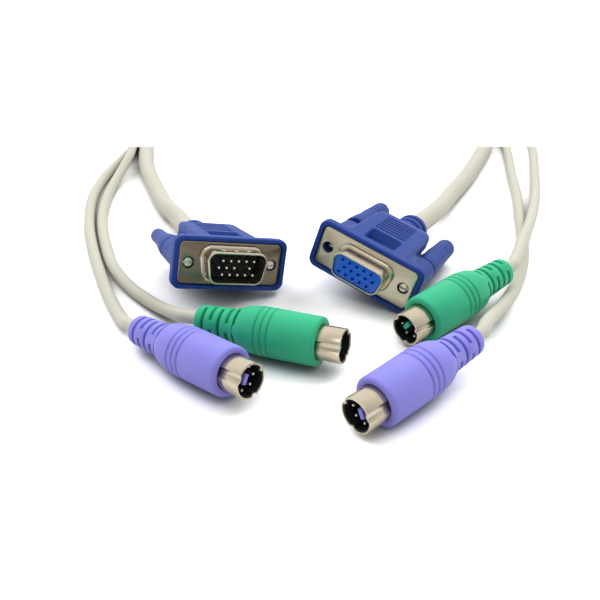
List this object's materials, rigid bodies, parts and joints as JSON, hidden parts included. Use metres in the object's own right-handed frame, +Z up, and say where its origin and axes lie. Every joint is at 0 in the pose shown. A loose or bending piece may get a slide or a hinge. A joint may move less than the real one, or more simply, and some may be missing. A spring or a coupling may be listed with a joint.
{
  "type": "kvm cable",
  "caption": "Keyboard, video and mouse cable: D-shaped video connectors and round plugs fanned out at both ends, spare cord wound in a tied coil.",
  "frame": {"origin": "on the table, under the middle of the box that holds the six connectors", "axes": "+Z up from the table, +X to the right across both ends, +Y back along the cords towards the coil"},
  "size_m": [0.1908, 0.3668, 0.0244],
  "materials": {
    "blue_moulding": "satin blue moulded plastic",
    "purple_moulding": "satin lilac moulded plastic",
    "green_moulding": "satin green moulded plastic",
    "nickel": "nickel-plated sheet steel",
    "steel": "plated steel",
    "gold": "gold-plated contact",
    "black_insulator": "matt black plastic",
    "blue_insulator": "satin blue plastic",
    "cord_sheath": "satin ivory sheath",
    "tie_band": "plain plastic band"
  },
  "bodies": {
    "cable": {"video_plug_hood": "blue_moulding", "video_plug_shell": "nickel", "video_plug_insulator": "black_insulator", "video_plug_pin_01": "gold", "video_plug_pin_02": "gold", "video_plug_pin_03": "gold", "video_plug_pin_04": "gold", "video_plug_pin_05": "gold", "video_plug_pin_06": "gold", "video_plug_pin_07": "gold", "video_plug_pin_08": "gold", "video_plug_pin_09": "gold", "video_plug_pin_10": "gold", "video_plug_pin_11": "gold", "video_plug_pin_12": "gold", "video_plug_pin_13": "gold", "video_plug_pin_14": "gold", "video_socket_hood": "blue_moulding", "video_socket_shell": "nickel", "video_socket_insulator": "blue_insulator", "keyboard_left_boot": "purple_moulding", "keyboard_left_shell": "nickel", "keyboard_left_insulator": "black_insulator", "keyboard_left_key": "purple_moulding", "mouse_left_boot": "green_moulding", "mouse_left_shell": "nickel", "mouse_left_insulator": "black_insulator", "mouse_left_key": "green_moulding", "keyboard_right_boot": "purple_moulding", "keyboard_right_shell": "nickel", "keyboard_right_insulator": "black_insulator", "keyboard_right_key": "purple_moulding", "mouse_right_boot": "green_moulding", "mouse_right_shell": "nickel", "mouse_right_insulator": "black_insulator", "mouse_right_key": "green_moulding", "video_cord_left": "cord_sheath", "keyboard_left_cord": "cord_sheath", "mouse_left_cord": "cord_sheath", "video_cord_right": "cord_sheath", "keyboard_right_cord": "cord_sheath", "mouse_right_cord": "cord_sheath", "cord_coil": "cord_sheath", "coil_tie": "tie_band"},
    "plug_left_thumbscrew": {"video_plug_left_knob": "blue_moulding", "video_plug_left_screw": "steel"},
    "plug_right_thumbscrew": {"video_plug_right_knob": "blue_moulding", "video_plug_right_screw": "steel"},
    "socket_left_thumbscrew": {"video_socket_left_knob": "blue_moulding", "video_socket_left_screw": "steel"},
    "socket_right_thumbscrew": {"video_socket_right_knob": "blue_moulding", "video_socket_right_screw": "steel"}
  },
  "joints": [
    {"name": "plug_left_turn", "type": "hinge", "parent": "cable", "child": "plug_left_thumbscrew", "pos_m": [-0.04465, 0.02132, 0.01254], "axis": [-0.4106, 0.8968, -0.165], "continuous": true},
    {"name": "plug_right_turn", "type": "hinge", "parent": "cable", "child": "plug_right_thumbscrew", "pos_m": [-0.02212, 0.03061, 0.007], "axis": [-0.4106, 0.8968, -0.165], "continuous": true},
    {"name": "socket_left_turn", "type": "hinge", "parent": "cable", "child": "socket_left_thumbscrew", "pos_m": [0.00969, 0.0329, 0.01382], "axis": [0.4787, 0.8744, -0.0785], "continuous": true},
    {"name": "socket_right_turn", "type": "hinge", "parent": "cable", "child": "socket_right_thumbscrew", "pos_m": [0.02924, 0.01872, 0.00694], "axis": [0.4787, 0.8744, -0.0785], "continuous": true}
  ]
}
